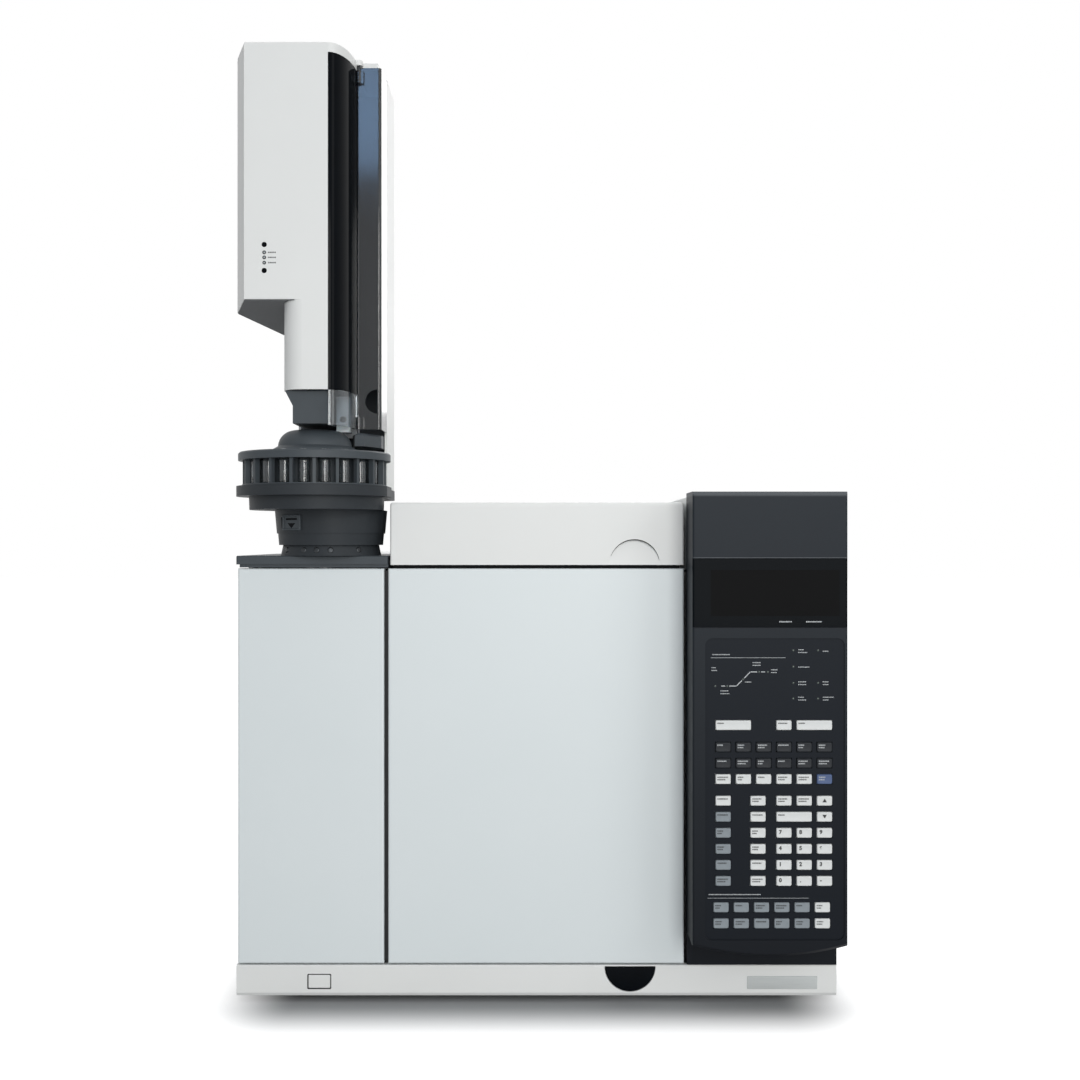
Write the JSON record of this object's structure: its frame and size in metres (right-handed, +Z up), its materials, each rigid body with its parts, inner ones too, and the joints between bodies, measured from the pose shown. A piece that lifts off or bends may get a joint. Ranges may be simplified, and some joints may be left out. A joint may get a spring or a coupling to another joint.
{
  "type": "gas chromatograph",
  "caption": "Bench gas chromatograph with a swing-open oven, a keypad console and a vial-turret injector tower.",
  "frame": {"origin": "on the bench, under the centre of the whole instrument's box", "axes": "+Z up, -Y towards the operator, +X to the operator's right"},
  "size_m": [0.59, 0.56, 0.93],
  "materials": {
    "enamel_white": "fine satin powder coat",
    "enamel_door": "fine satin powder coat",
    "tower_white": "satin moulded",
    "tower_grey": "fine-grained moulded",
    "smoked_gloss": "polished",
    "smoked_clear": "smoked acrylic",
    "console_charcoal": "fine-grained moulded",
    "display_gloss": "polished",
    "keys_dark": "satin moulded",
    "keys_light": "satin moulded",
    "keys_grey": "satin moulded",
    "board": "solder mask",
    "zinc_sheet": "zinc plated",
    "stainless": "brushed",
    "polished_steel": "ground and polished",
    "alloy": "clear anodised",
    "brass": "turned",
    "black_plastic": "moulded",
    "white_button": "satin moulded",
    "black_steel": "black stove enamel",
    "ceramic_wool": "compressed ceramic fibre",
    "fused_silica": "polyimide coated",
    "clear_glass": "clear",
    "rubber": "moulded"
  },
  "bodies": {
    "mainframe": {"rubber_feet": "rubber", "base_tray": "enamel_white", "front_skirt": "enamel_white", "bulkhead": "zinc_sheet", "top_deck": "zinc_sheet", "left_cover": "enamel_white", "right_cover": "enamel_white", "rear_cover": "enamel_white", "rear_top_cover": "enamel_white", "inlet_cover": "tower_grey", "oven_insulation": "ceramic_wool", "oven_liner": "stainless", "fan_shroud": "stainless", "fan_motor": "alloy", "heater_coil": "stainless", "vent_duct": "stainless", "inlets": "stainless", "detectors": "stainless", "column_cage": "stainless", "column_coil": "fused_silica", "gas_fittings": "brass", "rear_sockets": "black_plastic", "power_supply": "zinc_sheet", "main_board": "board", "flow_modules": "alloy", "keypad_fascia": "console_charcoal", "display_window": "display_gloss", "keypad_board": "board", "tower_base": "tower_grey", "tower_spine": "tower_grey", "guide_rods": "polished_steel", "needle_guide": "alloy", "tower_back_cover": "tower_white", "tower_shell": "tower_white", "tower_window": "smoked_gloss", "hinge_pins": "polished_steel"},
    "oven_door": {"door_frame": "black_steel", "door_insulation": "stainless", "door_skin_left": "enamel_door", "door_skin_centre": "enamel_door", "door_seal": "ceramic_wool"},
    "detector_lid": {"detector_cover": "enamel_white"},
    "latch": {"latch_paddle": "black_plastic"},
    "power_button": {"power_button": "white_button"},
    "oven_fan": {"oven_fan": "stainless"},
    "exhaust_flap": {"exhaust_flap": "stainless"},
    "tower_door": {"tower_door": "smoked_clear"},
    "syringe_lift": {"syringe_carriage": "alloy", "syringe": "clear_glass"},
    "plunger_lift": {"plunger_carriage": "alloy"},
    "turret": {"turret": "tower_grey", "vials": "clear_glass"},
    "component_keys": {"component_keys": "keys_dark"},
    "instrument_keys": {"instrument_keys": "keys_light"},
    "edit_keys": {"edit_keys": "keys_light"},
    "number_keys": {"number_keys": "keys_light"},
    "method_keys": {"method_keys": "keys_grey"},
    "enter_key": {"enter_key": "keys_light"},
    "start_key": {"start_key": "keys_light"},
    "stop_key": {"stop_key": "keys_light"}
  },
  "joints": [
    {"name": "oven_door_hinge", "type": "hinge", "parent": "mainframe", "child": "oven_door", "pos_m": [-0.286, -0.168, 0.2], "axis": [0, 0, -1], "range_deg": [0, 100]},
    {"name": "detector_lid_hinge", "type": "hinge", "parent": "mainframe", "child": "detector_lid", "pos_m": [0, 0.052, 0.484], "axis": [-1, 0, 0], "range_deg": [0, 75]},
    {"name": "latch_press", "type": "slide", "parent": "mainframe", "child": "latch", "axis": [0, 1, 0], "range_m": [0, 0.0025], "stiffness_N_per_m": 400, "springref_m": -0.002},
    {"name": "power_button_press", "type": "slide", "parent": "mainframe", "child": "power_button", "axis": [0, 1, 0], "range_m": [0, 0.002], "stiffness_N_per_m": 400, "springref_m": -0.002},
    {"name": "oven_fan_spin", "type": "hinge", "parent": "mainframe", "child": "oven_fan", "pos_m": [-0.087, 0.02, 0.22], "axis": [0, 1, 0], "continuous": true},
    {"name": "exhaust_flap_hinge", "type": "hinge", "parent": "mainframe", "child": "exhaust_flap", "pos_m": [-0.16, 0.263, 0.3345], "axis": [1, 0, 0], "range_deg": [0, 60]},
    {"name": "tower_door_hinge", "type": "hinge", "parent": "mainframe", "child": "tower_door", "pos_m": [-0.1768, -0.197, 0.74], "axis": [0, 0, -1], "range_deg": [0, 95]},
    {"name": "syringe_travel", "type": "slide", "parent": "mainframe", "child": "syringe_lift", "axis": [0, 0, -1], "range_m": [0, 0.044]},
    {"name": "plunger_travel", "type": "slide", "parent": "syringe_lift", "child": "plunger_lift", "axis": [0, 0, 1], "range_m": [0, 0.04]},
    {"name": "turret_spin", "type": "hinge", "parent": "mainframe", "child": "turret", "pos_m": [-0.219, -0.204, 0.52], "axis": [0, 0, 1], "continuous": true},
    {"name": "component_keys_press", "type": "slide", "parent": "mainframe", "child": "component_keys", "axis": [0, 1, 0], "range_m": [0, 0.0012], "stiffness_N_per_m": 200, "springref_m": -0.002},
    {"name": "instrument_keys_press", "type": "slide", "parent": "mainframe", "child": "instrument_keys", "axis": [0, 1, 0], "range_m": [0, 0.0012], "stiffness_N_per_m": 200, "springref_m": -0.002},
    {"name": "edit_keys_press", "type": "slide", "parent": "mainframe", "child": "edit_keys", "axis": [0, 1, 0], "range_m": [0, 0.0012], "stiffness_N_per_m": 200, "springref_m": -0.002},
    {"name": "number_keys_press", "type": "slide", "parent": "mainframe", "child": "number_keys", "axis": [0, 1, 0], "range_m": [0, 0.0012], "stiffness_N_per_m": 200, "springref_m": -0.002},
    {"name": "method_keys_press", "type": "slide", "parent": "mainframe", "child": "method_keys", "axis": [0, 1, 0], "range_m": [0, 0.0012], "stiffness_N_per_m": 200, "springref_m": -0.002},
    {"name": "enter_key_press", "type": "slide", "parent": "mainframe", "child": "enter_key", "axis": [0, 1, 0], "range_m": [0, 0.0012], "stiffness_N_per_m": 200, "springref_m": -0.002},
    {"name": "start_key_press", "type": "slide", "parent": "mainframe", "child": "start_key", "axis": [0, 1, 0], "range_m": [0, 0.0012], "stiffness_N_per_m": 200, "springref_m": -0.002},
    {"name": "stop_key_press", "type": "slide", "parent": "mainframe", "child": "stop_key", "axis": [0, 1, 0], "range_m": [0, 0.0012], "stiffness_N_per_m": 200, "springref_m": -0.002}
  ]
}
